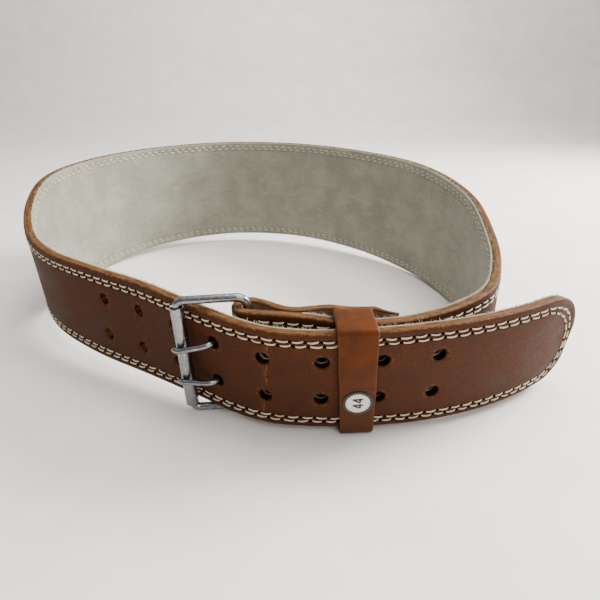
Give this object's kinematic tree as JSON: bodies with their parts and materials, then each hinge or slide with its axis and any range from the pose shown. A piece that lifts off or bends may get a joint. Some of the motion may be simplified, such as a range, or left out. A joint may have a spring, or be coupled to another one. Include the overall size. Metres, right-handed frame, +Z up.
{
  "type": "weightlifting belt",
  "caption": "Wide leather weightlifting belt, fastened into an oval loop by a roller buckle with prongs, with a suede lining and a keeper loop.",
  "frame": {"origin": "middle of the box round the belt, on the surface that it stands on", "axes": "+Z up, -Y towards the buckle and the tongue, +X towards the tip of the tongue"},
  "size_m": [0.3648, 0.3696, 0.1113],
  "materials": {
    "strap_leather": "oiled brown leather",
    "keeper_leather": "smooth brown leather",
    "suede": "grey napped suede",
    "label": "printed vinyl",
    "zinc_wire": "zinc-plated steel"
  },
  "bodies": {
    "root": {"strap": "strap_leather", "lining": "suede", "keeper_loop": "keeper_leather", "size_label": "label", "buckle_frame": "zinc_wire", "roller": "zinc_wire", "prong_upper": "zinc_wire", "prong_lower": "zinc_wire"}
  },
  "joints": []
}
